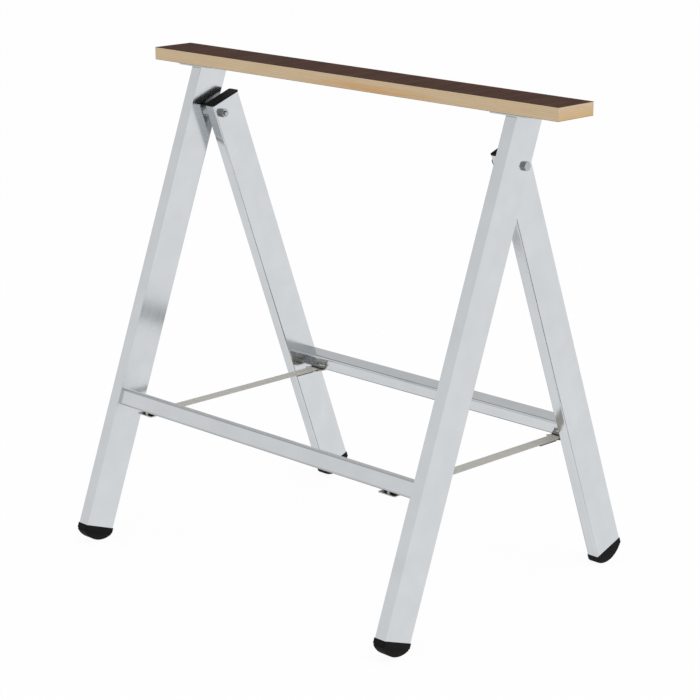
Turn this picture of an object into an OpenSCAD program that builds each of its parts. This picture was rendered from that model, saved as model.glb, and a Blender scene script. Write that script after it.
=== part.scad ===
// Folding builders trestle: a film-faced plywood board on two welded tube frames
// that open like an A and are held apart by two webbing straps.
// Millimetres, +Z up, +X along the board. The main frame stands on the -Y side.
// The origin lies on the floor, under the middle of the open trestle.

/* [Trestle] */
// Height of the working surface above the floor
work_height = 810; // [700:1:950]
// Angle by which the main frame leans from upright when open
lean = 20; // [17:0.1:23]
// Angle by which the swing frame leans from upright when open
swing_lean = 20.2; // [17:0.1:23]

/* [Board] */
// Length of the board
board_len = 900; // [820:1:1200]
// Width of the board
board_w = 80; // [78:1:120]
// Thickness of the board with both films
board_t = 21; // [18:0.5:30]
// Thickness of one phenolic film
film_t = 0.5; // [0.3:0.1:1]

/* [Head plates] */
// Width of a head plate along the board
head_w = 78; // [60:1:90]
// Depth of a head plate across the board
head_d = 76; // [66:1:78]
// Thickness of a head plate
head_t = 2.5; // [2.5:0.1:6]
// Radius of a head plate's corners
head_corner = 4; // [2:0.5:8]
// Diameter of a board screw's shank
screw_d = 5; // [4:0.5:6]
// Length of a board screw with its sunk head
screw_len = 17; // [13:0.5:19]
// Diameter of a board screw's head
screw_head_d = 9.5; // [8:0.5:11]
// Height of a board screw's sunk head
screw_head_h = 2.3; // [1.8:0.1:2.5]
// Length of a board screw's pointed end
screw_tip = 4; // [2:0.5:6]
// Diameter of a board screw's point
screw_point = 1; // [0.5:0.1:2]
// Distance from the plate's edges to a board screw
screw_inset = 9; // [7:0.5:12]
// Slack round a screw in its plate hole, on the radius
screw_clear = 0.25; // [0.1:0.05:0.5]
// Slack round a screw in its pilot hole, on the radius
pilot_clear = 0.05; // [0.02:0.01:0.1]
// Depth of a pilot hole past the screw's point
pilot_past = 0.5; // [0.2:0.1:1]

/* [Legs] */
// Deep side of a leg tube, front to back
leg_depth = 60; // [52:0.5:68]
// Narrow side of a leg tube, along the board
leg_width = 22; // [19:0.5:26]
// Wall of a leg tube
leg_wall = 2; // [1.5:0.1:3]
// Outer corner radius of a leg tube
leg_corner = 2.5; // [1.5:0.1:4]
// Overhang of the board past the outer face of a main leg
overhang = 86; // [60:1:140]
// Gap between a main leg and the swing leg beside it
leg_gap = 7.5; // [5:0.5:12]

/* [Pivot] */
// Height of the board's underside above the pivot
pivot_drop = 80; // [70:0.5:100]
// Distance of the pivot behind the middle of the main legs
pivot_main_off = 16.5; // [10:0.5:18]
// Height of the swing tubes above the pivot
swing_rise = 18.2; // [16:0.1:22]
// Diameter of a pivot bolt
bolt_d = 8; // [6:0.5:10]
// Width of a pivot bolt's head and nut across the flats
bolt_af = 13; // [12:0.5:16]
// Height of a pivot bolt's head
bolt_head_h = 5.3; // [5:0.1:8]
// Height of a pivot nut
nut_h = 8; // [6:0.5:10]
// Length of bolt that stands out of its nut
bolt_out = 4; // [2:0.5:6]
// Chamfer at a bolt's end
bolt_chamfer = 1; // [0.5:0.1:1.5]
// Outer diameter of the sleeve in a leg
sleeve_d = 12; // [11:0.5:14]
// Outer diameter of the spacer bush between two legs
bush_d = 24; // [14:0.5:26]
// Slack between a bolt and what it runs in, on the radius
run_clear = 0.05; // [0.02:0.01:0.1]
// Slack between a sleeve and its leg, on the radius
sleeve_clear = 0.03; // [0.01:0.01:0.08]
// Slack between faces that turn against each other
side_clear = 0.25; // [0.1:0.05:0.5]

/* [Crossbars] */
// Height of a crossbar tube, along the legs
bar_h = 28; // [24:0.5:34]
// Depth of a crossbar tube
bar_d = 25; // [22:0.5:28]
// Wall of a crossbar tube
bar_wall = 2; // [1.5:0.1:3]
// Outer corner radius of a crossbar tube
bar_corner = 4.2; // [2:0.1:5]
// Distance of a crossbar behind the outer face of its legs
bar_setback = 5.5; // [3:0.5:8]
// Height of the crossbars' lowest edges above the floor
bar_height = 225.1; // [180:0.1:300]
// Gap between the folded swing legs and the front crossbar
fold_clear = 2; // [0.5:0.05:3]

/* [Feet and caps] */
// Overhang of a foot's flange past its tube
foot_lip = 1.2; // [0.6:0.1:2]
// Thickness of a foot's flange
foot_flange = 8.6; // [6:0.1:12]
// Straight height of the tread block under the flange
foot_skirt = 2.6; // [1.5:0.1:4]
// Height of the tread's curve
foot_sag = 12; // [9:0.5:16]
// Step from the flange to the tread block at the sides
foot_step_x = 2.5; // [1.5:0.1:4]
// Step from the flange to the tread block at front and back
foot_step_y = 1.5; // [1:0.1:3]
// Length of a foot's plug inside the tube
plug_len = 32; // [20:1:50]
// Wall of a foot's or cap's plug
plug_wall = 2.5; // [1.5:0.1:3.5]
// Slack between a plug and its tube
plug_clear = 0.2; // [0.1:0.05:0.4]
// Overhang of a swing leg's cap past its tube
cap_lip = 0.8; // [0.4:0.1:1.5]
// Thickness of a swing leg's cap
cap_t = 2.2; // [1.5:0.1:4]
// Length of a cap's plug inside the tube
cap_plug = 9; // [5:0.5:9.5]

/* [Straps] */
// Distance of a strap's middle line from the inner face of the swing leg beside it
strap_inset = 29; // [22:0.5:60]
// Width of the webbing
strap_w = 23.5; // [20:0.5:28]
// Thickness of the webbing
strap_t = 1; // [0.7:0.1:1.4]
// Length of the webbing folded back behind an eye
strap_fold = 50; // [30:1:70]
// Thickness of that folded end, which is hemmed
tail_t = 2; // [1.2:0.1:2.4]
// Length over which the webbing opens into its eye
strap_ramp = 8; // [6:0.5:14]
// Slack between the webbing's eye and the rod in it
strap_clear = 0.15; // [0.1:0.05:0.3]
// Width of a strap plate
plate_w = 35; // [33:0.5:42]
// Thickness of a strap plate
plate_t = 1.5; // [1.2:0.1:2.5]
// Reach of a strap plate inwards from its crossbar's lowest edge
plate_in = 15.5; // [14:0.5:18]
// Reach of a strap plate outwards from its crossbar's lowest edge
plate_out = 15; // [13:0.5:19]
// Diameter of the rod at a strap plate's inner end
rod_d = 3; // [2.5:0.1:3.6]
// Length of the slot behind that rod
plate_slot = 3; // [2.5:0.1:4]
// Slack between the webbing and each end of the slot
slot_side = 0.75; // [0.4:0.05:1.2]
// Radius of a strap plate's outer corners
plate_corner = 2; // [1:0.1:3]
// Distance of a stud outwards from its crossbar's lowest edge
stud_out = 8.5; // [7:0.5:10]
// Diameter of a stud between its crossbar and its plate
stud_shoulder = 6; // [5.5:0.1:7]
// Diameter of a stud where it enters its plate
stud_d = 4; // [3.5:0.1:5]
// Diameter of a stud's flared end under the plate
stud_flare = 6; // [5.2:0.1:6.5]
// Slack round a stud in its plate, on the radius
stud_clear = 0.15; // [0.05:0.05:0.3]

/* [Hidden] */

// Sides
left = -1;
right = 1;

// Fine enough for true arcs
$fn = 48;
// Cuts run this far past what they cut
past = 1;

// Colours
aluminium = "#CCD0D3";
birch = "#C8AF86";
film_brown = "#4E3A35";
black = "#1E1E20";
zinc = "#9A9A96";
webbing = "#B4B3AE";

// Places along X
frame_half = board_len / 2 - overhang;
main_x = frame_half - leg_width / 2;
swing_x = main_x - leg_width - leg_gap;
main_inner_x = main_x - leg_width / 2;
swing_inner_x = swing_x - leg_width / 2;
strap_x = swing_inner_x - strap_inset;

// Heights
board_z = work_height - board_t;
pivot_z = board_z - pivot_drop;
leg_top_z = board_z - head_t;

// Pivot to the middle of the swing legs: folded, they lie against the front crossbar
pivot_swing_off = bar_setback + bar_d + fold_clear - pivot_main_off;

// Foot: the tread's curve runs from front to back of the tread block
tread_half = leg_depth / 2 + foot_lip - foot_step_y;
tread_r = (pow(tread_half, 2) + pow(foot_sag, 2)) / (2 * foot_sag);
foot_h = foot_flange + foot_skirt + foot_sag;

// Tube length below the pivot, so that the tread's lowest line meets the floor
main_len = (pivot_z + pivot_main_off * sin(lean) - tread_r) / cos(lean) + tread_r - foot_h;
swing_len = (pivot_z + pivot_swing_off * sin(swing_lean) - tread_r) / cos(swing_lean) + tread_r - foot_h;

// How far the feet reach to the front and to the rear of the pivot
function foot_reach(angle, off, len, half, drop) = (off + half) * cos(angle) + (len + drop) * sin(angle);
flange_half = leg_depth / 2 + foot_lip;
front_reach = max(
    foot_reach(lean, pivot_main_off, main_len, flange_half, foot_flange),
    foot_reach(lean, pivot_main_off, main_len, tread_half, foot_flange + foot_skirt));
rear_reach = max(
    foot_reach(swing_lean, pivot_swing_off, swing_len, flange_half, foot_flange),
    foot_reach(swing_lean, pivot_swing_off, swing_len, tread_half, foot_flange + foot_skirt));
pivot_y = (front_reach - rear_reach) / 2;

// The board is centred over the tops of the main legs
leg_top_s = (leg_top_z - pivot_z - pivot_main_off * sin(lean)) / cos(lean);
board_y = pivot_y - pivot_main_off * cos(lean) + leg_top_s * sin(lean);

// Crossbar places in the frames' own coordinates, and their lowest lines on the floor's plan
front_bar_y = -pivot_main_off - leg_depth / 2 + bar_setback + bar_d / 2;
rear_bar_y = pivot_swing_off + leg_depth / 2 - bar_setback - bar_d / 2;
front_low_y = front_bar_y + bar_d / 2 - bar_corner;
rear_low_y = rear_bar_y - bar_d / 2 + bar_corner;
front_low_z = (bar_height + bar_corner - pivot_z + front_low_y * sin(lean)) / cos(lean);
rear_low_z = (bar_height + bar_corner - pivot_z - rear_low_y * sin(swing_lean)) / cos(swing_lean);
front_low = pivot_y + front_low_y * cos(lean) + front_low_z * sin(lean);
rear_low = pivot_y + rear_low_y * cos(swing_lean) - rear_low_z * sin(swing_lean);

// Strap plates lie level under the crossbars' lowest edges, each with a rod at its inner end
rod_z = bar_height - plate_t + rod_d / 2;
rod_in = plate_in - rod_d / 2;
eye_inner = rod_d / 2 + strap_clear;
eye_outer = eye_inner + strap_t;

// Frames: the main frame leans back, the swing frame leans forward
module on_main() {
    translate([0, pivot_y, pivot_z]) rotate([-lean, 0, 0]) children();
}

module on_swing() {
    translate([0, pivot_y, pivot_z]) rotate([swing_lean, 0, 0]) children();
}

// Shared shapes
module rounded_rect(size_x, size_y, radius) {
    square([size_x - 2 * radius, size_y], center = true);
    square([size_x, size_y - 2 * radius], center = true);
    for (sx = [-1, 1], sy = [-1, 1])
        translate([sx * (size_x / 2 - radius), sy * (size_y / 2 - radius)])
            circle(radius);
}

module tube_section(size_x, size_y, wall, radius) {
    difference() {
        rounded_rect(size_x, size_y, radius);
        square([size_x - 2 * wall, size_y - 2 * wall], center = true);
    }
}

// Two of the flats face up and down once the prism lies along X
module hex_prism(across_flats, height) {
    rotate([0, 0, 30]) cylinder(h = height, d = across_flats / cos(30), $fn = 6);
}

module along_x() {
    rotate([0, 90, 0]) children();
}

// Leg tubes
module leg_tube(len_down, len_up) {
    translate([0, 0, -len_down])
        linear_extrude(len_down + len_up)
            tube_section(leg_width, leg_depth, leg_wall, leg_corner);
}

module sleeve_hole() {
    hole_len = leg_width + 2 * past;
    along_x()
        cylinder(h = hole_len, r = sleeve_d / 2 + sleeve_clear, center = true);
}

module main_leg(side) {
    spare = leg_depth * tan(lean);
    color(aluminium) difference() {
        on_main() translate([side * main_x, 0, 0]) difference() {
            translate([0, -pivot_main_off, 0]) leg_tube(main_len, leg_top_s + spare);
            sleeve_hole();
        }
        translate([side * main_x, board_y, leg_top_z])
            linear_extrude(2 * spare)
                square(4 * leg_depth, center = true);
    }
}

module swing_leg(side) {
    color(aluminium) on_swing() translate([side * swing_x, 0, 0]) difference() {
        translate([0, pivot_swing_off, 0]) leg_tube(swing_len, swing_rise);
        sleeve_hole();
    }
}

// Crossbars: tubes between the inner faces of a frame's legs
module bar_place(bar_y, low_z) {
    translate([0, bar_y, low_z - bar_corner + bar_h / 2]) along_x() children();
}

module front_bar_solid(bar_len) {
    on_main() bar_place(front_bar_y, front_low_z)
        linear_extrude(bar_len, center = true) rounded_rect(bar_h, bar_d, bar_corner);
}

module rear_bar_solid(bar_len) {
    on_swing() bar_place(rear_bar_y, rear_low_z)
        linear_extrude(bar_len, center = true) rounded_rect(bar_h, bar_d, bar_corner);
}

module front_crossbar() {
    color(aluminium) on_main() bar_place(front_bar_y, front_low_z)
        linear_extrude(2 * main_inner_x, center = true)
            tube_section(bar_h, bar_d, bar_wall, bar_corner);
}

module rear_crossbar() {
    color(aluminium) on_swing() bar_place(rear_bar_y, rear_low_z)
        linear_extrude(2 * swing_inner_x, center = true)
            tube_section(bar_h, bar_d, bar_wall, bar_corner);
}

// Board: a birch core between two films, with pilot holes for the screws
module at_screws() {
    for (side = [left, right], sx = [-1, 1], sy = [-1, 1])
        translate([
            side * main_x + sx * (head_w / 2 - screw_inset),
            board_y + sy * (head_d / 2 - screw_inset),
            leg_top_z
        ]) children();
}

module pilot_holes() {
    at_screws() cylinder(h = screw_len + pilot_past, r = screw_d / 2 + pilot_clear);
}

module sunk_head() {
    cylinder(h = screw_head_h, d1 = screw_head_d, d2 = screw_d);
}

module board_layer(bottom_z, layer_t) {
    translate([-board_len / 2, board_y - board_w / 2, bottom_z])
        cube([board_len, board_w, layer_t]);
}

module board_core() {
    color(birch) difference() {
        board_layer(board_z + film_t, board_t - 2 * film_t);
        pilot_holes();
    }
}

module board_top_film() {
    color(film_brown) board_layer(work_height - film_t, film_t);
}

module board_bottom_film() {
    color(film_brown) difference() {
        board_layer(board_z, film_t);
        pilot_holes();
    }
}

module head_plate(side) {
    color(aluminium) difference() {
        translate([side * main_x, board_y, leg_top_z])
            linear_extrude(head_t) rounded_rect(head_w, head_d, head_corner);
        at_screws() {
            translate([0, 0, -past])
                cylinder(h = head_t + 2 * past, r = screw_d / 2 + screw_clear);
            sunk_head();
        }
    }
}

module board_screws() {
    color(zinc) at_screws() {
        sunk_head();
        cylinder(h = screw_len - screw_tip, d = screw_d);
        translate([0, 0, screw_len - screw_tip])
            cylinder(h = screw_tip, d1 = screw_d, d2 = screw_point);
    }
}

// Feet and caps: moulded pieces with a hollow plug in the tube's end
module plug(length) {
    slack = 2 * (leg_wall + plug_clear);
    linear_extrude(length) difference() {
        square([leg_width - slack, leg_depth - slack], center = true);
        square([leg_width - slack - 2 * plug_wall, leg_depth - slack - 2 * plug_wall], center = true);
    }
}

module flange(lip, thickness) {
    linear_extrude(thickness)
        rounded_rect(leg_width + 2 * lip, leg_depth + 2 * lip, leg_corner + lip);
}

module tread_outline() {
    translate([-tread_half, -foot_skirt]) square([2 * tread_half, foot_skirt]);
    intersection() {
        translate([0, tread_r - foot_skirt - foot_sag]) circle(tread_r, $fn = 96);
        translate([-tread_half, -foot_skirt - foot_sag]) square([2 * tread_half, foot_sag]);
    }
}

// The foot's own origin is the middle of the tube's cut end
module foot() {
    tread_w = leg_width + 2 * foot_lip - 2 * foot_step_x;
    color(black) {
        plug(plug_len);
        translate([0, 0, -foot_flange]) flange(foot_lip, foot_flange);
        translate([0, 0, -foot_flange]) rotate([90, 0, 90])
            linear_extrude(tread_w, center = true) tread_outline();
    }
}

module front_foot(side) {
    on_main() translate([side * main_x, -pivot_main_off, -main_len]) foot();
}

module rear_foot(side) {
    on_swing() translate([side * swing_x, pivot_swing_off, -swing_len]) foot();
}

module swing_cap(side) {
    color(black) on_swing() translate([side * swing_x, pivot_swing_off, swing_rise]) {
        flange(cap_lip, cap_t);
        mirror([0, 0, 1]) plug(cap_plug);
    }
}

// Pivot: a hex bolt from the outside, through both legs, to a nut on the inside
module at_pivot(side, place_x) {
    translate([side * place_x, pivot_y, pivot_z]) rotate([0, -side * 90, 0]) children();
}

module ring(outer_d, inner_r, height) {
    difference() {
        cylinder(h = height, d = outer_d);
        translate([0, 0, -past]) cylinder(h = height + 2 * past, r = inner_r);
    }
}

module pivot_bolt(side) {
    grip = frame_half - swing_inner_x + side_clear + nut_h + bolt_out;
    color(zinc) at_pivot(side, frame_half) {
        translate([0, 0, -bolt_head_h]) hex_prism(bolt_af, bolt_head_h);
        translate([0, 0, -bolt_head_h / 2])
            cylinder(h = grip - bolt_chamfer + bolt_head_h / 2, d = bolt_d);
        translate([0, 0, grip - bolt_chamfer])
            cylinder(h = bolt_chamfer, d1 = bolt_d, d2 = bolt_d - 2 * bolt_chamfer);
    }
}

module pivot_nut(side) {
    color(zinc) at_pivot(side, swing_inner_x - side_clear) difference() {
        hex_prism(bolt_af, nut_h);
        translate([0, 0, -past]) cylinder(h = nut_h + 2 * past, r = bolt_d / 2 + run_clear);
    }
}

module spacer_bush(side) {
    color(zinc) at_pivot(side, main_inner_x)
        ring(bush_d, bolt_d / 2 + run_clear, leg_gap - side_clear);
}

module leg_sleeve(side, leg_x) {
    color(zinc) at_pivot(side, leg_x + leg_width / 2)
        ring(sleeve_d, bolt_d / 2 + run_clear, leg_width);
}

module main_sleeve(side) {
    leg_sleeve(side, main_x);
}

module swing_sleeve(side) {
    leg_sleeve(side, swing_x);
}

// Straps: webbing with an eye at each end, drawn as its side view.
// An end's points run outwards from the middle of the rod.
// The ramps run a little way into the eye's ring.
ramp_outer = eye_outer - strap_t / 4;
ramp_inner = eye_inner - strap_t / 4;
eye_top = [[-strap_ramp, strap_t], [0, ramp_outer]];
eye_under = [[0, -ramp_outer], [-strap_ramp, -tail_t], [-strap_fold, -tail_t], [-strap_fold, 0]];
eye_throat = [[-strap_ramp, 0], [0, ramp_inner], [0, -ramp_inner]];
front_eye = front_low + rod_in;
rear_eye = rear_low - rod_in;

function at_rear(points) = [for (p = points) [rear_eye + p[0], p[1]]];
function at_front(points) = [for (i = [len(points) - 1:-1:0]) [front_eye - points[i][0], points[i][1]]];

module eye_rounds(width, radius) {
    for (eye = [front_eye, rear_eye])
        translate([0, eye, 0]) along_x() cylinder(h = width, r = radius, center = true);
}

module from_side(width, points) {
    rotate([90, 0, 90]) linear_extrude(width, center = true) polygon(points);
}

module strap(side) {
    cut_w = strap_w + 2 * past;
    color(webbing) translate([side * strap_x, 0, rod_z]) difference() {
        union() {
            from_side(strap_w, concat(
                at_front(eye_top), at_rear(eye_top), at_rear(eye_under), at_front(eye_under)));
            eye_rounds(strap_w, eye_outer);
        }
        eye_rounds(cut_w, eye_inner);
        from_side(cut_w, at_front(eye_throat));
        from_side(cut_w, at_rear(eye_throat));
    }
}

// Strap plates: flat plates with a slot and a rod for the webbing, and a seat for the stud
// Only the outer corners are round.
module plate_outline() {
    straight = plate_w - 2 * plate_corner;
    translate([-plate_w / 2, -rod_in]) square([plate_w, rod_in + plate_out - plate_corner]);
    translate([-straight / 2, 0]) square([straight, plate_out]);
    for (sx = [-1, 1])
        translate([sx * straight / 2, plate_out - plate_corner]) circle(plate_corner);
}

module plate_slot_cut() {
    slot_w = strap_w + 2 * slot_side;
    translate([-slot_w / 2, -plate_in]) square([slot_w, rod_d + plate_slot]);
}

module strap_plate(side, low) {
    color(zinc) translate([side * strap_x, low, bar_height - plate_t]) {
        difference() {
            linear_extrude(plate_t) difference() {
                plate_outline();
                plate_slot_cut();
            }
            translate([0, stud_out, 0])
                cylinder(h = plate_t, r1 = stud_flare / 2 + stud_clear, r2 = stud_d / 2 + stud_clear);
        }
        translate([0, -rod_in, rod_d / 2]) along_x()
            cylinder(h = plate_w, d = rod_d, center = true);
    }
}

module front_strap_plate(side) {
    mirror([0, 1, 0]) strap_plate(side, -front_low);
}

module rear_strap_plate(side) {
    strap_plate(side, rear_low);
}

// Studs: welded to the crossbars' undersides, with a shoulder that the plate seats on
module stud(place_y) {
    for (side = [left, right])
        translate([side * strap_x, place_y, bar_height]) {
            cylinder(h = bar_h / 2, d = stud_shoulder);
            translate([0, 0, -plate_t]) cylinder(h = plate_t, d1 = stud_flare, d2 = stud_d);
        }
}

module front_strap_studs() {
    color(zinc) difference() {
        stud(front_low - stud_out);
        front_bar_solid(2 * main_inner_x);
    }
}

module rear_strap_studs() {
    color(zinc) difference() {
        stud(rear_low + stud_out);
        rear_bar_solid(2 * swing_inner_x);
    }
}

board_core();
board_top_film();
board_bottom_film();
head_plate(left);  // head_plate_left
head_plate(right);  // head_plate_right
board_screws();
main_leg(left);  // main_leg_left
main_leg(right);  // main_leg_right
front_crossbar();
swing_leg(left);  // swing_leg_left
swing_leg(right);  // swing_leg_right
rear_crossbar();
front_foot(left);  // front_foot_left
front_foot(right);  // front_foot_right
rear_foot(left);  // rear_foot_left
rear_foot(right);  // rear_foot_right
swing_cap(left);  // swing_cap_left
swing_cap(right);  // swing_cap_right
pivot_bolt(left);  // pivot_bolt_left
pivot_bolt(right);  // pivot_bolt_right
pivot_nut(left);  // pivot_nut_left
pivot_nut(right);  // pivot_nut_right
spacer_bush(left);  // spacer_bush_left
spacer_bush(right);  // spacer_bush_right
main_sleeve(left);  // main_sleeve_left
main_sleeve(right);  // main_sleeve_right
swing_sleeve(left);  // swing_sleeve_left
swing_sleeve(right);  // swing_sleeve_right
strap(left);  // strap_left
strap(right);  // strap_right
front_strap_plate(left);  // front_strap_plate_left
front_strap_plate(right);  // front_strap_plate_right
rear_strap_plate(left);  // rear_strap_plate_left
rear_strap_plate(right);  // rear_strap_plate_right
front_strap_studs();
rear_strap_studs();
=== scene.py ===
# %% [markdown]
# # A folding builders trestle
#
# The trestle is a narrow work board on two hinged frames of aluminium tube. Its exact shapes
# come from the CAD frame, which is loaded first and never changed. This lesson adds what CAD
# leaves out: the finishes, the woven straps that stop the frames from sliding apart, and the
# light and camera of a plain studio picture.

# %% Load the frame
import math

import bpy
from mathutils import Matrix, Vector


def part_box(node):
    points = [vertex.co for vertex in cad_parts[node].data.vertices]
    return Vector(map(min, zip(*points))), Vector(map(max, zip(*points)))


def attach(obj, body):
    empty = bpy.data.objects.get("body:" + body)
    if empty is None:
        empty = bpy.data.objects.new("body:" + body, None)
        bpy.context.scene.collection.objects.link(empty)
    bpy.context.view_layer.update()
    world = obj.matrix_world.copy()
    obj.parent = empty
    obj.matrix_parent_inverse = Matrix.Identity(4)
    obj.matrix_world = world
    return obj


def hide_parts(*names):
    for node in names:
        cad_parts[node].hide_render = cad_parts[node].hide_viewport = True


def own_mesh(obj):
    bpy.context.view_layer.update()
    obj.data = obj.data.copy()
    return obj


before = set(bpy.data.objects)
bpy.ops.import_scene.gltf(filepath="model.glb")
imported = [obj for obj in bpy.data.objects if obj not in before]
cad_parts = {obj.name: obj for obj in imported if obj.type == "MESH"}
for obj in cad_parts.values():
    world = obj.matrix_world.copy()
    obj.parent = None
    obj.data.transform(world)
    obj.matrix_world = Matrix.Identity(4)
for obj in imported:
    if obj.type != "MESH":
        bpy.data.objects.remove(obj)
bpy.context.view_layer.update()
bpy.ops.object.select_all(action="DESELECT")
mm = 0.001

# %% [markdown]
# ## Small helpers for every finish
#
# Colours are easiest to compare with a picture as sRGB hex values, but a shader works with
# linear light, so one function converts them. The next adds a node, sets what it needs and
# links it, so that a finish reads as a short list of nodes. Two more start a finish and put
# it on the CAD pieces, whose meshes stay as they are.


# %% Colour and node helpers
def linear(hex_colour):
    """Turns an sRGB hex colour into the linear colour that a shader socket takes."""
    parts = [int(hex_colour[i : i + 2], 16) / 255 for i in (1, 3, 5)]
    return [c / 12.92 if c <= 0.04045 else ((c + 0.055) / 1.055) ** 2.4 for c in parts] + [1]


def add(tree, kind, settings=(), links=()):
    """Adds a node, sets its properties and sockets, and links its inputs."""
    node = tree.nodes.new(kind)
    for name, value in dict(settings).items():
        if isinstance(name, str) and hasattr(node, name):
            setattr(node, name, value)
        else:
            node.inputs[name].default_value = value
    for socket, source in dict(links).items():
        tree.links.new(source, node.inputs[socket])
    return node


def new_finish(name):
    """A new material with its node tree, and the shader that the finish feeds."""
    finish = bpy.data.materials.new(name)
    finish.use_nodes = True
    return finish, finish.node_tree, finish.node_tree.nodes["Principled BSDF"]


def clad(finish, nodes):
    """Gives CAD pieces a finish through their material slots."""
    for node in nodes:
        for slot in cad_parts[node].material_slots:
            slot.link = "OBJECT"
            slot.material = finish
    print(finish.name, "on", ", ".join(nodes))


print("sRGB #808080 is", round(linear("#808080")[0], 3), "in linear light")

# %% [markdown]
# ## Extruded aluminium
#
# The legs and crossbars are aluminium tube pushed through a die. The die leaves faint lines
# along the tube, and the bare metal keeps a soft mirror, in which near things such as a black
# cap still show. The lines could be modelled, but they are thinner than a hair, so a noise
# stretched along the tube gives them to roughness and bump. A tube leans, so a Mapping node
# of the Texture kind first turns the pattern along it, then sets the size of a feature.
# Broad clouds let the tone of the metal drift a little.
#
# Real die lines are some 0.3 mm apart. They are drawn about 2 mm apart here, to show at all.

# %% A finish for one direction of tube
DIE_LINE = 2 * mm
DIE_RUN = 350 * mm
CLOUD = 45 * mm


def extruded_aluminium(name, turn):
    """Bare extruded tube, with its die lines along z after the turn is undone."""
    finish, tree, shader = new_finish(name)
    place = add(tree, "ShaderNodeTexCoord").outputs["Object"]
    along = add(
        tree,
        "ShaderNodeMapping",
        {"vector_type": "TEXTURE", "Rotation": turn, "Scale": (DIE_LINE, DIE_LINE, DIE_RUN)},
        {"Vector": place},
    )
    lines = add(
        tree,
        "ShaderNodeTexNoise",
        {"Scale": 1, "Detail": 3, "Roughness": 0.6},
        {"Vector": along.outputs[0]},
    )
    cloud = add(
        tree, "ShaderNodeTexNoise", {"Scale": 1 / CLOUD, "Detail": 2}, {"Vector": place}
    )
    blotch = add(
        tree,
        "ShaderNodeMapRange",
        {"From Min": 0.3, "From Max": 0.7, "To Min": 0, "To Max": 1},
        {"Value": cloud.outputs["Fac"]},
    )
    tone = add(
        tree,
        "ShaderNodeMath",
        {"operation": "MULTIPLY"},
        {0: blotch.outputs[0], 1: lines.outputs["Fac"]},
    )
    colour = add(
        tree,
        "ShaderNodeMix",
        {"data_type": "RGBA", 6: linear("#CFD3D6"), 7: linear("#DADDDF")},
        {0: tone.outputs[0]},
    )
    gloss = add(
        tree,
        "ShaderNodeMapRange",
        {"From Min": 0.3, "From Max": 0.7, "To Min": 0.12, "To Max": 0.21},
        {"Value": lines.outputs["Fac"]},
    )
    relief = add(
        tree,
        "ShaderNodeBump",
        {"Strength": 0.12, "Distance": 0.02 * mm},
        {"Height": lines.outputs["Fac"]},
    )
    shader.inputs["Metallic"].default_value = 1
    tree.links.new(colour.outputs[2], shader.inputs["Base Color"])
    tree.links.new(gloss.outputs[0], shader.inputs["Roughness"])
    tree.links.new(relief.outputs[0], shader.inputs["Normal"])
    return finish


print("die lines are drawn", round(DIE_LINE / mm), "mm apart")

# %% Legs and crossbars
MAIN_LEAN = math.radians(-20)
SWING_LEAN = math.radians(20.2)

clad(
    extruded_aluminium("extruded_aluminium_main_legs", (MAIN_LEAN, 0, 0)),
    ["main_leg_left", "main_leg_right"],
)
clad(
    extruded_aluminium("extruded_aluminium_swing_legs", (SWING_LEAN, 0, 0)),
    ["swing_leg_left", "swing_leg_right"],
)
clad(
    extruded_aluminium("extruded_aluminium_crossbars", (0, math.radians(90), 0)),
    ["front_crossbar", "rear_crossbar"],
)

# %% [markdown]
# The two head plates under the board are rolled sheet. Rolling leaves the same kind of lines,
# along the board, on a slightly duller skin. They too are drawn coarser than real, to show.

# %% Rolled aluminium head plates
ROLLING = (60 * mm, 1.2 * mm, 1.2 * mm)

finish, tree, shader = new_finish("rolled_aluminium_plate")
place = add(tree, "ShaderNodeTexCoord").outputs["Object"]
rolled = add(
    tree, "ShaderNodeMapping", {"vector_type": "TEXTURE", "Scale": ROLLING}, {"Vector": place}
)
grain = add(
    tree, "ShaderNodeTexNoise", {"Scale": 1, "Detail": 3}, {"Vector": rolled.outputs[0]}
)
skin = add(
    tree,
    "ShaderNodeMapRange",
    {"From Min": 0.3, "From Max": 0.7, "To Min": 0.28, "To Max": 0.42},
    {"Value": grain.outputs["Fac"]},
)
colour = add(
    tree,
    "ShaderNodeMix",
    {"data_type": "RGBA", 6: linear("#C6CACD"), 7: linear("#D4D7D9")},
    {0: grain.outputs["Fac"]},
)
shader.inputs["Metallic"].default_value = 1
tree.links.new(skin.outputs[0], shader.inputs["Roughness"])
tree.links.new(colour.outputs[2], shader.inputs["Base Color"])
clad(finish, ["head_plate_left", "head_plate_right"])

# %% [markdown]
# ## Birch plywood
#
# The board's edges are sawn and bare, so they show the plies. Each ply turns its grain a
# quarter, so one that shows pale long grain on the front edge shows darker end grain on the
# board's end. The plies could be separate solids, but counting them off from the height in
# the shader keeps the board whole, and the face's own normal says which way each ply is cut.
#
# A ply is 1.54 mm here, so 13 of them fill the 20 mm between the films.

# %% Count the plies
PLY = 20 / 13 * mm
CORE_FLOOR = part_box("board_core")[0][2]

finish, tree, shader = new_finish("birch_plywood_sawn_edge")
place = add(tree, "ShaderNodeTexCoord").outputs["Object"]
split = add(tree, "ShaderNodeSeparateXYZ", (), {0: place})
up = add(
    tree,
    "ShaderNodeMapRange",
    {"clamp": False, "From Min": CORE_FLOOR, "From Max": CORE_FLOOR + PLY},
    {"Value": split.outputs["Z"]},
)
ply = add(tree, "ShaderNodeMath", {"operation": "FLOOR"}, {0: up.outputs[0]})
within = add(tree, "ShaderNodeMath", {"operation": "FRACT"}, {0: up.outputs[0]})
normal = add(tree, "ShaderNodeNewGeometry").outputs["Normal"]
facing = add(tree, "ShaderNodeSeparateXYZ", (), {0: normal})
end_on = add(tree, "ShaderNodeMath", {"operation": "ABSOLUTE"}, {0: facing.outputs["X"]})
on_end = add(
    tree, "ShaderNodeMath", {"operation": "GREATER_THAN", 1: 0.5}, {0: end_on.outputs[0]}
)
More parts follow.
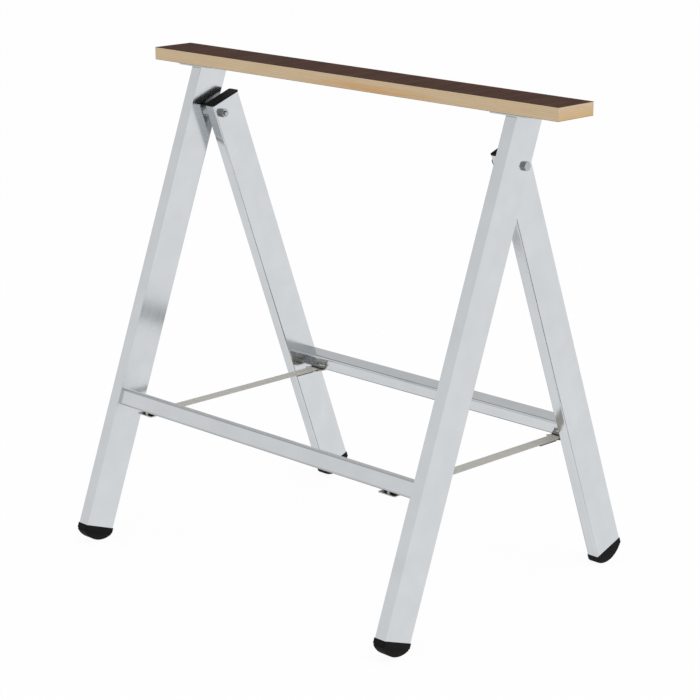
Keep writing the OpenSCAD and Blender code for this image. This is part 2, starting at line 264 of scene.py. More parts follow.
turned = add(
    tree, "ShaderNodeMath", {"operation": "ADD"}, {0: ply.outputs[0], 1: on_end.outputs[0]}
)
cut_across = add(
    tree, "ShaderNodeMath", {"operation": "FLOORED_MODULO", 1: 2}, {0: turned.outputs[0]}
)
print("a ply is", round(PLY / mm, 2), "mm thick")

# %% [markdown]
# Long grain gives the eye pale streaks along a ply, and end grain a browner tone with fine
# pores. Each is a noise between two colours, and the count of the plies picks one of them.
# Birch pores are under 0.1 mm wide and are drawn 0.8 mm wide, to show.

# %% Long grain and end grain
FIBRE = (24 * mm, 24 * mm, 1.1 * mm)
PORE = 0.8 * mm

fibre = add(
    tree, "ShaderNodeMapping", {"vector_type": "TEXTURE", "Scale": FIBRE}, {"Vector": place}
)
streak = add(
    tree,
    "ShaderNodeTexNoise",
    {"Scale": 1, "Detail": 4, "Roughness": 0.65},
    {"Vector": fibre.outputs[0]},
)
pores = add(tree, "ShaderNodeTexNoise", {"Scale": 1 / PORE, "Detail": 2}, {"Vector": place})
long_grain = add(
    tree,
    "ShaderNodeMix",
    {"data_type": "RGBA", 6: linear("#C6AF8B"), 7: linear("#D9C7AB")},
    {0: streak.outputs["Fac"]},
)
end_grain = add(
    tree,
    "ShaderNodeMix",
    {"data_type": "RGBA", 6: linear("#C0A47C"), 7: linear("#CFB691")},
    {0: pores.outputs["Fac"]},
)
plies = add(
    tree,
    "ShaderNodeMix",
    {"data_type": "RGBA"},
    {0: cut_across.outputs[0], 6: long_grain.outputs[2], 7: end_grain.outputs[2]},
)
print("streaks are", FIBRE[0] / mm, "mm long, pores", PORE / mm, "mm wide")

# %% [markdown]
# No board is one even colour. A broad figure, drawn out along the board, lets the wood drift
# to a browner tone. A streak of brown heartwood lies low on the front edge, near its middle,
# and the figure makes it uneven too.

# %% Figure and heartwood
FIGURE = (70 * mm, 26 * mm, 5 * mm)
CORE_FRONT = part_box("board_core")[0][1]
HEART_MIDDLE = (65 * mm, CORE_FRONT, CORE_FLOOR + 5 * mm)
HEART_REACH = (170 * mm, 20 * mm, 9 * mm)

drawn_out = add(
    tree, "ShaderNodeMapping", {"vector_type": "TEXTURE", "Scale": FIGURE}, {"Vector": place}
)
figure = add(
    tree, "ShaderNodeTexNoise", {"Scale": 1, "Detail": 3}, {"Vector": drawn_out.outputs[0]}
)
drift = add(
    tree,
    "ShaderNodeMapRange",
    {"From Min": 0.35, "From Max": 0.65, "To Min": 0, "To Max": 0.2},
    {"Value": figure.outputs["Fac"]},
)
figured = add(
    tree,
    "ShaderNodeMix",
    {"data_type": "RGBA", 7: linear("#BA9B70")},
    {0: drift.outputs[0], 6: plies.outputs[2]},
)
round_heart = add(
    tree,
    "ShaderNodeMapping",
    {"vector_type": "TEXTURE", "Location": HEART_MIDDLE, "Scale": HEART_REACH},
    {"Vector": place},
)
heart = add(
    tree,
    "ShaderNodeTexGradient",
    {"gradient_type": "SPHERICAL"},
    {"Vector": round_heart.outputs[0]},
)
brown = add(
    tree,
    "ShaderNodeMapRange",
    {"From Min": 0, "From Max": 0.8, "To Min": 0, "To Max": 1.2},
    {"Value": heart.outputs["Fac"]},
)
uneven = add(
    tree,
    "ShaderNodeMath",
    {"operation": "MULTIPLY"},
    {0: brown.outputs[0], 1: figure.outputs["Fac"]},
)
hearted = add(
    tree,
    "ShaderNodeMix",
    {"data_type": "RGBA", 7: linear("#CB9655")},
    {0: uneven.outputs[0], 6: figured.outputs[2]},
)
print("the heartwood streak is", round(2 * HEART_REACH[0] / mm), "mm long")

# %% [markdown]
# The sawn ends take up damp, so they are warmer, unevenly and most of all near the underside.
# The glue between two plies shows as a thin dark line at the foot of each ply.

# %% Warm ends and glue
LOW_PLY, HIGH_PLY = 2, 11

damp = add(
    tree,
    "ShaderNodeMapRange",
    {"From Min": 0.35, "From Max": 0.65, "To Min": 0.7, "To Max": 0.3},
    {"Value": figure.outputs["Fac"]},
)
risen = add(
    tree,
    "ShaderNodeMapRange",
    {"From Min": LOW_PLY, "From Max": HIGH_PLY},
    {"Value": up.outputs[0]},
)
tint = add(
    tree,
    "ShaderNodeMix",
    {"data_type": "RGBA", 6: linear("#D8AE6C"), 7: linear("#DABCA0")},
    {0: risen.outputs[0]},
)
warmth = add(
    tree,
    "ShaderNodeMath",
    {"operation": "MULTIPLY"},
    {0: on_end.outputs[0], 1: damp.outputs[0]},
)
warmed = add(
    tree,
    "ShaderNodeMix",
    {"data_type": "RGBA"},
    {0: warmth.outputs[0], 6: hearted.outputs[2], 7: tint.outputs[2]},
)
glue = add(
    tree,
    "ShaderNodeMapRange",
    {"From Min": 0.03, "From Max": 0.12, "To Min": 0.2, "To Max": 0},
    {"Value": within.outputs[0]},
)
edge = add(
    tree,
    "ShaderNodeMix",
    {"data_type": "RGBA", 7: linear("#94754D")},
    {0: glue.outputs[0], 6: warmed.outputs[2]},
)
relief = add(
    tree,
    "ShaderNodeBump",
    {"Strength": 0.25, "Distance": 0.15 * mm},
    {"Height": pores.outputs["Fac"]},
)
shader.inputs["Roughness"].default_value = 0.62
tree.links.new(edge.outputs[2], shader.inputs["Base Color"])
tree.links.new(relief.outputs[0], shader.inputs["Normal"])
clad(finish, ["board_core"])

# %% [markdown]
# ## Phenolic film
#
# A sheet of paper soaked in brown resin is pressed on both faces of the board. It is hard and
# smooth, but the veneer below it shows through as faint streaks across the board, and the
# paper gives a fine mottle. One noise for each of them varies the brown and the gloss.

# %% Film on the board's faces
VENEER = (7 * mm, 90 * mm, 7 * mm)
PAPER = 2.5 * mm

finish, tree, shader = new_finish("phenolic_film_brown")
place = add(tree, "ShaderNodeTexCoord").outputs["Object"]
veneer = add(
    tree, "ShaderNodeMapping", {"vector_type": "TEXTURE", "Scale": VENEER}, {"Vector": place}
)
streak = add(
    tree, "ShaderNodeTexNoise", {"Scale": 1, "Detail": 4}, {"Vector": veneer.outputs[0]}
)
paper = add(tree, "ShaderNodeTexNoise", {"Scale": 1 / PAPER, "Detail": 3}, {"Vector": place})
mottle = add(
    tree,
    "ShaderNodeMath",
    {"operation": "ADD"},
    {0: streak.outputs["Fac"], 1: paper.outputs["Fac"]},
)
tone = add(
    tree,
    "ShaderNodeMapRange",
    {"From Min": 0.7, "From Max": 1.3},
    {"Value": mottle.outputs[0]},
)
colour = add(
    tree,
    "ShaderNodeMix",
    {"data_type": "RGBA", 6: linear("#35211A"), 7: linear("#573F35")},
    {0: tone.outputs[0]},
)
gloss = add(
    tree,
    "ShaderNodeMapRange",
    {"From Min": 0.7, "From Max": 1.3, "To Min": 0.55, "To Max": 0.7},
    {"Value": mottle.outputs[0]},
)
relief = add(
    tree,
    "ShaderNodeBump",
    {"Strength": 0.15, "Distance": 0.05 * mm},
    {"Height": mottle.outputs[0]},
)
shader.inputs["Specular IOR Level"].default_value = 0.02
tree.links.new(colour.outputs[2], shader.inputs["Base Color"])
tree.links.new(gloss.outputs[0], shader.inputs["Roughness"])
tree.links.new(relief.outputs[0], shader.inputs["Normal"])
clad(finish, ["board_top_film", "board_bottom_film"])

# %% [markdown]
# ## Moulded black plastic
#
# The feet and caps are injection moulded. The mould is spark eroded, which leaves a fine
# matt pebble on the plastic, and the treads of the feet pick up a little dust. The pebble is
# some 0.1 mm across and is drawn 0.6 mm across, to show.

# %% Spark textured plastic
PEBBLE = 0.6 * mm
SMEAR = 9 * mm
DUST_HEIGHT = 14 * mm


def moulded_plastic(name, dark, pale, roughness):
    """Spark textured plastic, with a little dust near the ground."""
    finish, tree, shader = new_finish(name)
    place = add(tree, "ShaderNodeTexCoord").outputs["Object"]
    pebble = add(
        tree, "ShaderNodeTexNoise", {"Scale": 1 / PEBBLE, "Detail": 2}, {"Vector": place}
    )
    smear = add(
        tree, "ShaderNodeTexNoise", {"Scale": 1 / SMEAR, "Detail": 3}, {"Vector": place}
    )
    split = add(tree, "ShaderNodeSeparateXYZ", (), {0: place})
    near_ground = add(
        tree,
        "ShaderNodeMapRange",
        {"From Min": 0, "From Max": DUST_HEIGHT, "To Min": 0.8, "To Max": 0.1},
        {"Value": split.outputs["Z"]},
    )
    dust = add(
        tree,
        "ShaderNodeMath",
        {"operation": "MULTIPLY"},
        {0: near_ground.outputs[0], 1: smear.outputs["Fac"]},
    )
    colour = add(
        tree,
        "ShaderNodeMix",
        {"data_type": "RGBA", 6: linear(dark), 7: linear(pale)},
        {0: dust.outputs[0]},
    )
    gloss = add(
        tree,
        "ShaderNodeMapRange",
        {"To Min": roughness - 0.08, "To Max": roughness + 0.12},
        {"Value": smear.outputs["Fac"]},
    )
    relief = add(
        tree,
        "ShaderNodeBump",
        {"Strength": 0.3, "Distance": 0.08 * mm},
        {"Height": pebble.outputs["Fac"]},
    )
    shader.inputs["Specular IOR Level"].default_value = 0.1
    tree.links.new(colour.outputs[2], shader.inputs["Base Color"])
    tree.links.new(gloss.outputs[0], shader.inputs["Roughness"])
    tree.links.new(relief.outputs[0], shader.inputs["Normal"])
    return finish


print("the pebble is drawn", round(PEBBLE / mm, 1), "mm across")

# %% Feet and caps
clad(
    moulded_plastic("moulded_polypropylene_feet", "#101011", "#262524", 0.6),
    ["front_foot_left", "front_foot_right", "rear_foot_left", "rear_foot_right"],
)
clad(
    moulded_plastic("moulded_polyethylene_caps", "#0F0F10", "#1E1E1F", 0.5),
    ["swing_cap_left", "swing_cap_right"],
)

# %% [markdown]
# ## Plated steel
#
# The bolts, nuts, bushes, screws, studs, sleeves and strap plates are steel with a bright
# zinc plating. A clear passivation gives the zinc a warm grey that varies a little from place
# to place. The flats of a bolt or nut are forged, and are painted darker than its end as
# painted shade. The bolts lie along x, so the x of a face's normal tells an end from a flat.
# The grain of zinc is too fine to see, and is drawn 0.7 mm across, to show.

# %% Zinc plating
DRIFT = 5 * mm
ZINC_GRAIN = 0.7 * mm


def plated_steel(name, cool, warm, low, high, flat_shade):
    """Zinc plating whose passivation drifts between two colours, with painted shade on the
    flats.
    """
    finish, tree, shader = new_finish(name)
    place = add(tree, "ShaderNodeTexCoord").outputs["Object"]
    drift = add(
        tree, "ShaderNodeTexNoise", {"Scale": 1 / DRIFT, "Detail": 3}, {"Vector": place}
    )
    fine = add(
        tree, "ShaderNodeTexNoise", {"Scale": 1 / ZINC_GRAIN, "Detail": 2}, {"Vector": place}
    )
    passivated = add(
        tree,
        "ShaderNodeMix",
        {"data_type": "RGBA", 6: linear(cool), 7: linear(warm)},
        {0: drift.outputs["Fac"]},
    )
    normal = add(tree, "ShaderNodeNewGeometry").outputs["Normal"]
    facing = add(tree, "ShaderNodeSeparateXYZ", (), {0: normal})
    end_on = add(tree, "ShaderNodeMath", {"operation": "ABSOLUTE"}, {0: facing.outputs["X"]})
    # Painted shade: faces whose normal lies across x, the flats, are mixed towards dark
    # #4E4F4B.
    flat = add(
        tree,
        "ShaderNodeMapRange",
        {"From Min": 0.4, "From Max": 0.6, "To Min": flat_shade, "To Max": 0},
        {"Value": end_on.outputs[0]},
    )
    colour = add(
        tree,
        "ShaderNodeMix",
        {"data_type": "RGBA", 7: linear("#4E4F4B")},
        {0: flat.outputs[0], 6: passivated.outputs[2]},
    )
    gloss = add(
        tree,
        "ShaderNodeMapRange",
        {"From Min": 0.3, "From Max": 0.7, "To Min": low, "To Max": high},
        {"Value": drift.outputs["Fac"]},
    )
    relief = add(
        tree,
        "ShaderNodeBump",
        {"Strength": 0.15, "Distance": 0.04 * mm},
        {"Height": fine.outputs["Fac"]},
    )
    shader.inputs["Metallic"].default_value = 1
    tree.links.new(colour.outputs[2], shader.inputs["Base Color"])
    tree.links.new(gloss.outputs[0], shader.inputs["Roughness"])
    tree.links.new(relief.outputs[0], shader.inputs["Normal"])
    return finish


print("the plating drifts in tone over", round(DRIFT / mm), "mm")

# %% Fasteners and strap plates
# Bolts and nuts get 0.45 of painted shade on their flats, and the other steel parts get none.
clad(
    plated_steel("zinc_plated_bolt_steel", "#B2B5B8", "#B6B9B7", 0.2, 0.32, 0.45),
    ["pivot_bolt_left", "pivot_bolt_right", "pivot_nut_left", "pivot_nut_right"],
)
clad(
    plated_steel("zinc_plated_steel", "#BEC0C0", "#C5C4BD", 0.2, 0.32, 0),
    [
        "spacer_bush_left",
        "spacer_bush_right",
        "main_sleeve_left",
        "main_sleeve_right",
        "swing_sleeve_left",
        "swing_sleeve_right",
        "board_screws",
        "front_strap_studs",
        "rear_strap_studs",
    ],
)
clad(
    plated_steel("zinc_plated_sheet_steel", "#BDBCB6", "#C6C2B7", 0.26, 0.4, 0),
    [
        "front_strap_plate_left",
        "front_strap_plate_right",
        "rear_strap_plate_left",
        "rear_strap_plate_right",
    ],
)

# %% [markdown]
# ## The straps
#
# Each strap is one length of webbing. It goes over a rod at the inner edge of a plate under
# each crossbar, comes back beneath itself, and its end is turned under once more as a hem.
# It could be built from blocks, but real webbing is a flat band that has been folded, so it
# is made that way: a grid the size of the cut band is laid, row by row, along the path, then
# Solidify gives it its thickness, less at the selvedges. Its layers lie a hair further apart
# than the webbing is thick, and it eases from the ring round each rod to the flat band.

# %% The path of a strap
STRAP_X = 283.5 * mm
STRAP_W = 23.5 * mm
WEB_T = 0.96 * mm
LAYER = 1 * mm
ROD_Z = 225.1 * mm
FRONT_ROD_Y = -183.184 * mm
REAR_ROD_Y = 182.396 * mm
RING = 2.15 * mm
RAMP = 8 * mm
FOLD = 50 * mm
HALFWAY = 30 * mm
HEM_END = 11 * mm
TURN_STEPS, RAMP_STEPS, RING_STEPS, BAND_STEPS = 8, 8, 16, 24


def eased(t):
    """Goes from 0 to 1 with no slope at either end."""
    return t * t * (3 - 2 * t)


def strap_end():
    """One end, from its hem to the band: distance inward from the rod, and height over it."""
    turn = LAYER / 2
    points = [(HEM_END, -3 * turn), (HALFWAY, -3 * turn)]
    for i in range(TURN_STEPS + 1):
        a = math.pi * (i / TURN_STEPS - 0.5)
        points.append((FOLD - turn + turn * math.cos(a), -LAYER + turn * math.sin(a)))
    points.append((HALFWAY, -turn))
    for i in range(RAMP_STEPS):
        t = i / RAMP_STEPS
        points.append((RAMP * (1 - t), -turn - (RING - turn) * eased(t)))
    for i in range(RING_STEPS + 1):
        a = -math.pi * (i / RING_STEPS + 0.5)
        points.append((RING * math.cos(a), RING * math.sin(a)))
    for i in range(1, RAMP_STEPS + 1):
        t = i / RAMP_STEPS
        points.append((RAMP * t, RING - (RING - turn) * eased(t)))
    return points


front = [(FRONT_ROD_Y + y, ROD_Z + z) for y, z in strap_end()]
rear = [(REAR_ROD_Y - y, ROD_Z + z) for y, z in reversed(strap_end())]
band_start, band_end = front[-1][0], rear[0][0]
between = [
    (band_start + (band_end - band_start) * i / BAND_STEPS, ROD_Z + LAYER / 2)
    for i in range(1, BAND_STEPS)
]
path = front + between + rear
run = [0]
for (y0, z0), (y1, z1) in zip(path, path[1:]):
    run.append(run[-1] + math.hypot(y1 - y0, z1 - z0))
CUT_LENGTH = run[-1]
print("webbing is cut", round(CUT_LENGTH / mm), "mm long and", STRAP_W / mm, "mm wide")

# %% [markdown]
# ## Woven webbing
#
# The straps are flat polyester webbing, woven in a plain weave: each warp yarn goes over and
# under the weft in turn. The weave follows the strap round its loops, so it reads the strap's
# own UV map, which is laid out in metres. Two sine waves multiplied together give the over
# and under. Real yarns are about 0.8 mm apart. They are drawn 1.6 mm apart, to show, and the
# weft a little closer.

# %% The weave
YARN = 1.6 * mm
WEFT = 0.8 * YARN

webbing_finish, tree, shader = new_finish("woven_polyester_webbing")
laid_out = add(tree, "ShaderNodeUVMap", {"uv_map": "webbing"})
split = add(tree, "ShaderNodeSeparateXYZ", (), {0: laid_out.outputs[0]})
waves = []
for axis, pitch in (("X", YARN), ("Y", WEFT)):
    turn = add(
        tree,
        "ShaderNodeMath",
        {"operation": "MULTIPLY", 1: math.tau / (2 * pitch)},
        {0: split.outputs[axis]},
    )
    waves.append(add(tree, "ShaderNodeMath", {"operation": "SINE"}, {0: turn.outputs[0]}))
over = add(
    tree,
    "ShaderNodeMath",
    {"operation": "MULTIPLY"},
    {0: waves[0].outputs[0], 1: waves[1].outputs[0]},
)
height = add(tree, "ShaderNodeMath", {"operation": "ABSOLUTE"}, {0: over.outputs[0]})
yarns = add(
    tree,
    "ShaderNodeMix",
    {"data_type": "RGBA", 6: linear("#A3A099"), 7: linear("#CFCCC5")},
    {0: height.outputs[0]},
)
print("yarns are drawn", YARN / mm, "mm apart")

# %% [markdown]
# The tail that is folded back under each end hangs lowest, under the band, so painted shade
# darkens it. It could have a finish of its own, but the band is one piece, so the distance
# along it from the nearer cut end tells the tail from the rest.

# %% Painted shade on the tails
TAIL = 81 * mm

from_end = add(
    tree,
    "ShaderNodeMath",
    {"operation": "PINGPONG", 1: CUT_LENGTH / 2},
    {0: split.outputs["Y"]},
)
# Painted shade: within TAIL of each cut end, the band is mixed towards dark #57534D.
tail_shade = add(
    tree,
    "ShaderNodeMapRange",
    {"From Min": TAIL, "From Max": TAIL + RAMP, "To Min": 0.75, "To Max": 0},
    {"Value": from_end.outputs[0]},
)
colour = add(
    tree,
    "ShaderNodeMix",
    {"data_type": "RGBA", 7: linear("#57534D")},
    {0: tail_shade.outputs[0], 6: yarns.outputs[2]},
)
relief = add(
    tree,
    "ShaderNodeBump",
    {"Strength": 0.6, "Distance": 0.25 * mm},
    {"Height": height.outputs[0]},
)
shader.inputs["Roughness"].default_value = 0.8
shader.inputs["Sheen Weight"].default_value = 0.15
tree.links.new(colour.outputs[2], shader.inputs["Base Color"])
tree.links.new(relief.outputs[0], shader.inputs["Normal"])
# This print gives how far from each cut end the painted shade reaches.
print(webbing_finish.name, "is shade_painted", round(TAIL / mm), "mm from each cut end")

# %% [markdown]
# The thread is twisted from a few yarns, which gives each stitch a slanting light and dark
# band. A turn of the twist is about 1 mm long, and is drawn nearly 4 mm long, to show.

# %% Thread
TWIST = 6 * mm

thread_finish, tree, shader = new_finish("twisted_polyester_thread")
place = add(tree, "ShaderNodeTexCoord").outputs["Object"]
twist = add(
    tree,
    "ShaderNodeTexWave",
    {"bands_direction": "DIAGONAL", "Scale": 1 / TWIST, "Distortion": 0.5},
    {"Vector": place},
)
colour = add(
    tree,
    "ShaderNodeMix",
    {"data_type": "RGBA", 6: linear("#A3A098"), 7: linear("#D3D0C8")},
    {0: twist.outputs["Fac"]},
)
shader.inputs["Roughness"].default_value = 0.7
tree.links.new(colour.outputs[2], shader.inputs["Base Color"])
print("made", thread_finish.name)

# %% [markdown]
# ## Laying the band
#
# The grid has one row of points for each point of the path. Each row moves to its place, and
# the length run so far becomes the second axis of the UV map. A selvedge is woven flatter, so
# the outermost points get half the thickness. The left strap is a copy with its own mesh.

# %% Lay the right strap and copy it to the left
ACROSS = 12
SELVEDGE_SHARE = 0.5

bpy.ops.mesh.primitive_grid_add(x_subdivisions=ACROSS, y_subdivisions=len(path) - 1, size=1)
strap_right = bpy.context.object
strap_right.name = "webbing_right"
band = strap_right.data
rows = [round((v.co.y + 0.5) * (len(path) - 1)) for v in band.vertices]
across = [v.co.x * STRAP_W for v in band.vertices]
for v, row, x in zip(band.vertices, rows, across):
    v.co = (STRAP_X + x, path[row][0], path[row][1])
laid_out = band.uv_layers.active
laid_out.name = "webbing"
for loop in band.loops:
    i = loop.vertex_index
    laid_out.data[loop.index].uv = (across[i], run[rows[i]])

selvedge = strap_right.vertex_groups.new(name="selvedge")
for i, x in enumerate(across):
    outermost = abs(x) > 0.49 * STRAP_W
    selvedge.add([i], SELVEDGE_SHARE if outermost else 1, "REPLACE")
solid = strap_right.modifiers.new("thickness", "SOLIDIFY")
solid.thickness, solid.offset = WEB_T, 0
solid.vertex_group = "selvedge"
bpy.ops.object.modifier_apply(modifier="thickness")
bpy.ops.object.shade_smooth_by_angle(angle=math.radians(50))
band.materials.append(webbing_finish)

bpy.ops.object.duplicate(linked=False)
strap_left = bpy.context.object
strap_left.name = "webbing_left"
strap_left.location.x = -2 * STRAP_X
bpy.ops.object.transform_apply(location=True)
print("each strap has", len(strap_left.data.polygons), "faces")

# %% [markdown]
# ## The stitching
#
# The folded end is sewn through all its layers in a box with a cross, the usual seam on
# webbing that carries load. A stitch is a short piece of thread that dips into the band at
# both ends, so one is modelled from a cylinder whose ends are extruded downwards and made
# thinner. Copies of it follow the seam on both faces and are joined to one piece per strap.

# %% One stitch
STITCH = 3.2 * mm
THREAD_R = 0.3 * mm
STRAIGHT = 0.5 * STITCH
DIP_ALONG, DIP_DOWN = 0.17 * STITCH, 0.6 * THREAD_R
THINNED = 0.6

bpy.ops.object.select_all(action="DESELECT")
bpy.ops.mesh.primitive_cylinder_add(
    vertices=8, radius=THREAD_R, depth=STRAIGHT, rotation=(math.radians(90), 0, 0)
)
bpy.ops.object.transform_apply(rotation=True)
stitch = bpy.context.object
stitch.name = "stitch"
for end in (1, -1):
    bpy.ops.object.mode_set(mode="EDIT")
    bpy.ops.mesh.select_all(action="DESELECT")
    bpy.ops.object.mode_set(mode="OBJECT")
    for face in stitch.data.polygons:
        face.select = face.normal.y * end > 0.9
    bpy.ops.object.mode_set(mode="EDIT")
    bpy.ops.mesh.select_mode(type="FACE")
    dip = (0, end * DIP_ALONG, -DIP_DOWN)
    bpy.ops.mesh.extrude_region_move(TRANSFORM_OT_translate={"value": dip})
    bpy.ops.transform.resize(value=(THINNED, THINNED, THINNED))
    bpy.ops.object.mode_set(mode="OBJECT")
bpy.ops.object.shade_smooth_by_angle(angle=math.radians(60))
stitch.data.materials.append(thread_finish)
print("a stitch has", len(stitch.data.polygons), "faces")

# %% Sew both ends of both straps
SEAM_X = 8.5 * mm
SEAM_IN, SEAM_OUT = 15 * mm, 45 * mm


def seam():
    """The seam's lines, in x from the strap's middle and y inward from the rod."""
    corners = [(-SEAM_X, SEAM_IN), (SEAM_X, SEAM_IN), (SEAM_X, SEAM_OUT), (-SEAM_X, SEAM_OUT)]
    sides = list(zip(corners, corners[1:] + corners[:1]))
    return sides + [(corners[0], corners[2]), (corners[1], corners[3])]


def sew(side, name):
    """Copies the stitch along the seam on both faces of both ends of a strap."""
    sewn = []
    for rod_y, inward in ((FRONT_ROD_Y, 1), (REAR_ROD_Y, -1)):
        for height, face_up in ((ROD_Z + LAYER, True), (ROD_Z - 2 * LAYER, False)):
            for (x0, y0), (x1, y1) in seam():
                length = math.hypot(x1 - x0, y1 - y0)
                count = round(length / STITCH)
                heading = math.atan2(-(x1 - x0), inward * (y1 - y0))
                for i in range(count):
                    t = (i + 0.5) / count
                    copy = stitch.copy()
                    copy.data = stitch.data.copy()
                    copy.location = (
                        side * STRAP_X + x0 + (x1 - x0) * t,
                        rod_y + inward * (y0 + (y1 - y0) * t),
                        height,
                    )
                    copy.rotation_euler = (0, 0 if face_up else math.pi, heading)
                    bpy.context.collection.objects.link(copy)
                    sewn.append(copy)
    bpy.ops.object.select_all(action="DESELECT")
    for copy in sewn:
        copy.select_set(True)
    bpy.context.view_layer.objects.active = sewn[0]
    bpy.ops.object.join()
    piece = bpy.context.object
    piece.name = name
    bpy.ops.object.transform_apply(location=True, rotation=True)
    print(name, "has", len(sewn), "stitches")
    return piece


stitching_left = sew(-1, "stitching_left")
stitching_right = sew(1, "stitching_right")
bpy.data.objects.remove(stitch)

# %% [markdown]
# ## What moves with what
#
# A strap is slack once the frames fold, and its rear end comes close to the front rod. So the
# straps ride on the main frame.

for side, strap, stitching in (
    ("left", strap_left, stitching_left),
    ("right", strap_right, stitching_right),
):
    for piece in (strap, stitching):
        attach(piece, "main_frame")
        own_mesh(piece)
    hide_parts("strap_" + side)

# %% [markdown]
# ## The studio
#
# The picture is a product shot on white. The floor is a pale plane that glows white to the
# camera but keeps a part of its paint, so that the object's shadow stays. From below it is
# clear, so that the underside can be looked at. Mirror rays pass it, and see the white room
# of the world instead, so that the bare metal shows white below the horizon too.

# %% Floor
FLOOR_SIZE = 60
FLOOR_GLOW = 0.94

bpy.ops.object.select_all(action="DESELECT")
bpy.ops.mesh.primitive_plane_add(size=FLOOR_SIZE)
floor = bpy.context.object
floor.name = "studio_floor"
floor.visible_glossy = False
finish, tree, shader = new_finish("pale_studio_floor")
tree.nodes.remove(shader)
seen = add(tree, "ShaderNodeLightPath")
paint = add(tree, "ShaderNodeBsdfDiffuse", {"Color": linear("#F6F6F6")})
glow = add(tree, "ShaderNodeEmission", {"Color": (1, 1, 1, 1), "Strength": 1})
lit = add(
    tree, "ShaderNodeMixShader", {0: FLOOR_GLOW}, {1: paint.outputs[0], 2: glow.outputs[0]}
)
shown = add(
    tree,
    "ShaderNodeMixShader",
    (),
    {0: seen.outputs["Is Camera Ray"], 1: paint.outputs[0], 2: lit.outputs[0]},
)
clear = add(tree, "ShaderNodeBsdfTransparent")
underside = add(tree, "ShaderNodeNewGeometry").outputs["Backfacing"]
one_sided = add(
    tree, "ShaderNodeMixShader", (), {0: underside, 1: shown.outputs[0], 2: clear.outputs[0]}
)
output = tree.nodes["Material Output"]
tree.links.new(one_sided.outputs[0], output.inputs["Surface"])
floor.data.materials.append(finish)
print("floor is", floor.dimensions.x, "m wide")

# %% [markdown]
# ## The room in the mirrors
#
# Bare metal in an even white room looks flat, so a photographer hangs black cards where only
# the edges of the metal mirror them, and each edge gets a fine dark line. The cards could be
# planes round the object, but they would also shade it. Here they are soft dark spots in the
# world that mirror rays alone can see, each given by its direction.

# %% Black cards
CARDS = [
    # direction, radius in degrees where the card begins and where it is darkest, darkest level
    ((-0.68, -0.45, 0.58), 17, 10, 0.58),  # high, for the upper edges of the crossbars
    ((-0.62, 0.05, -0.78), 22, 13, 0.32),  # low, for the lower edges of the crossbars
    ((-0.69, -0.64, -0.33), 21, 9, 0.7),  # to the left, for the crossbars' front edges
    ((-0.71, -0.46, -0.53), 16, 6, 0.92),  # lower left, faint, for the fronts of the swing legs
    ((-0.69, 0.7, -0.12), 34, 8, 0.5),  # behind, for faces seen almost edge on
]


def card_shade(tree, direction, card, begins, darkest, level):
    """How bright a mirror ray stays in a direction: low where it meets the card."""
    nearness = add(
        tree,
        "ShaderNodeVectorMath",
        {"operation": "DOT_PRODUCT", 1: Vector(card).normalized()},
        {0: direction},
    )
    return add(
        tree,
        "ShaderNodeMapRange",
        {
            "interpolation_type": "SMOOTHSTEP",
            "From Min": math.cos(math.radians(begins)),
            "From Max": math.cos(math.radians(darkest)),
            "To Min": 1,
            "To Max": level,
        },
        {"Value": nearness.outputs["Value"]},
    ).outputs["Result"]


print("cards:", len(CARDS))

# %% [markdown]
# The front edges of the swing legs show as two darker lines. A rounded edge mirrors a cone of
# directions round the leg's own axis, so a round card catches only a part of it. A strip along
# that cone does better. It is where three large cards overlap: one round the legs' axis, one
# round the opposite direction, and one that ends the strip at both sides.

# %% A strip below the camera
LEG_AXIS = Vector((0, math.sin(SWING_LEAN), -math.cos(SWING_LEAN)))
STRIP_MIDDLE = Vector((0.74, -0.26, -0.62))
STRIP_LEVEL = 0.12
STRIP = [
    (LEG_AXIS, 67, 64, STRIP_LEVEL),
    (-LEG_AXIS, 124.5, 121.5, STRIP_LEVEL),
    (STRIP_MIDDLE, 27, 15, STRIP_LEVEL),
]
strip_angle = math.degrees(LEG_AXIS.angle(STRIP_MIDDLE))
print("the strip's middle lies", round(strip_angle), "degrees off the legs' axis")

# %% [markdown]
# In the mirrors the room is whitest below the horizon and greys a little towards a ceiling
# that is lower at the back. The light that falls on cloth, wood and plastic is stronger from
# the right, as from a window. The camera itself sees plain white.

# %% World
TO_CEILING = (0, 0.15, 1)

world = bpy.data.worlds.new("white_studio")
bpy.context.scene.world = world
world.use_nodes = True
tree = world.node_tree
tree.nodes.clear()
seen = add(tree, "ShaderNodeLightPath")
direction = add(tree, "ShaderNodeTexCoord").outputs["Generated"]
split = add(tree, "ShaderNodeSeparateXYZ", (), {0: direction})
raised = add(
    tree,
    "ShaderNodeVectorMath",
    {"operation": "DOT_PRODUCT", 1: TO_CEILING},
    {0: direction},
)
ceiling = add(
    tree,
    "ShaderNodeMapRange",
    {"From Min": 0.12, "From Max": 0.68, "To Min": 0.87, "To Max": 0.66},
    {"Value": raised.outputs["Value"]},
)
ground = add(
    tree,
    "ShaderNodeMapRange",
    {"From Min": -0.02, "From Max": 0.02, "To Min": 1.128, "To Max": 1},
    {"Value": split.outputs["Z"]},
)
mirrored = add(
    tree,
    "ShaderNodeMath",
    {"operation": "MULTIPLY"},
    {0: ceiling.outputs[0], 1: ground.outputs[0]},
)
for card in CARDS:
    shade = card_shade(tree, direction, *card)
    mirrored = add(
        tree, "ShaderNodeMath", {"operation": "MULTIPLY"}, {0: mirrored.outputs[0], 1: shade}
    )
strip = [card_shade(tree, direction, *card) for card in STRIP]
cone = add(tree, "ShaderNodeMath", {"operation": "MAXIMUM"}, {0: strip[0], 1: strip[1]})
ended = add(
    tree, "ShaderNodeMath", {"operation": "MAXIMUM"}, {0: cone.outputs[0], 1: strip[2]}
)
mirrored = add(
    tree,
    "ShaderNodeMath",
    {"operation": "MULTIPLY"},
    {0: mirrored.outputs[0], 1: ended.outputs[0]},
)
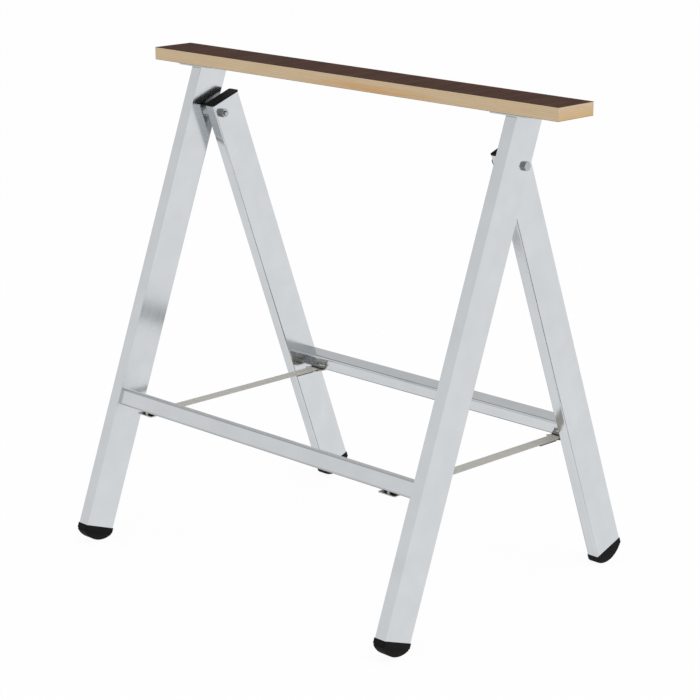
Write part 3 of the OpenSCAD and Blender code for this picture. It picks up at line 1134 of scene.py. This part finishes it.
window = add(
    tree,
    "ShaderNodeMapRange",
    {"From Min": -1, "From Max": 1, "To Min": 0.66, "To Max": 1.06},
    {"Value": split.outputs["X"]},
)
fill = add(
    tree,
    "ShaderNodeMix",
    (),
    {0: seen.outputs["Is Glossy Ray"], 2: window.outputs[0], 3: mirrored.outputs[0]},
)
level = add(
    tree, "ShaderNodeMix", {3: 1}, {0: seen.outputs["Is Camera Ray"], 2: fill.outputs[0]}
)
sky = add(
    tree, "ShaderNodeBackground", {"Color": (1, 1, 1, 1)}, {"Strength": level.outputs[0]}
)
add(tree, "ShaderNodeOutputWorld", (), {"Surface": sky.outputs[0]})
print("world:", world.name, "with", len(CARDS), "cards and a strip")

# %% [markdown]
# ## One lamp
#
# The white room lights the trestle almost evenly. A large softbox overhead adds the faint
# shadow that sets the feet on the floor. A small lamp would cast one too, but a hard one.

# %% Softbox
SOFTBOX_PLACE = Vector((0.6, -0.4, 4))
SOFTBOX_SIZE = 2.5
SOFTBOX_WATTS = 25

lamp = bpy.data.lights.new("overhead_softbox", "AREA")
lamp.size, lamp.energy = SOFTBOX_SIZE, SOFTBOX_WATTS
softbox = bpy.data.objects.new("overhead_softbox", lamp)
softbox.location = SOFTBOX_PLACE
softbox.rotation_euler = (-SOFTBOX_PLACE).to_track_quat("-Z", "Y").to_euler()
bpy.context.collection.objects.link(softbox)
print(softbox.name, SOFTBOX_WATTS, "W")

# %% [markdown]
# ## Camera
#
# The camera stands to the front right, a little above the board, far enough away for nearly
# parallel edges. A long lens then fills the square picture with the trestle.

# %% Camera and colour handling
LENS, SENSOR = 114.06, 36
EYE = Vector((2.48587, -2.48243, 1.33222))
TARGET = Vector((-0.01606, 0.00956, 0.3474))

camera = bpy.data.cameras.new("photo_camera")
camera.lens, camera.sensor_width = LENS, SENSOR
holder = bpy.data.objects.new("photo_camera", camera)
holder.location = EYE
holder.rotation_euler = (TARGET - EYE).to_track_quat("-Z", "Y").to_euler()
bpy.context.collection.objects.link(holder)
scene = bpy.context.scene
scene.camera = holder
scene.view_settings.view_transform = "Standard"
print("camera is", round((TARGET - EYE).length, 2), "m away")
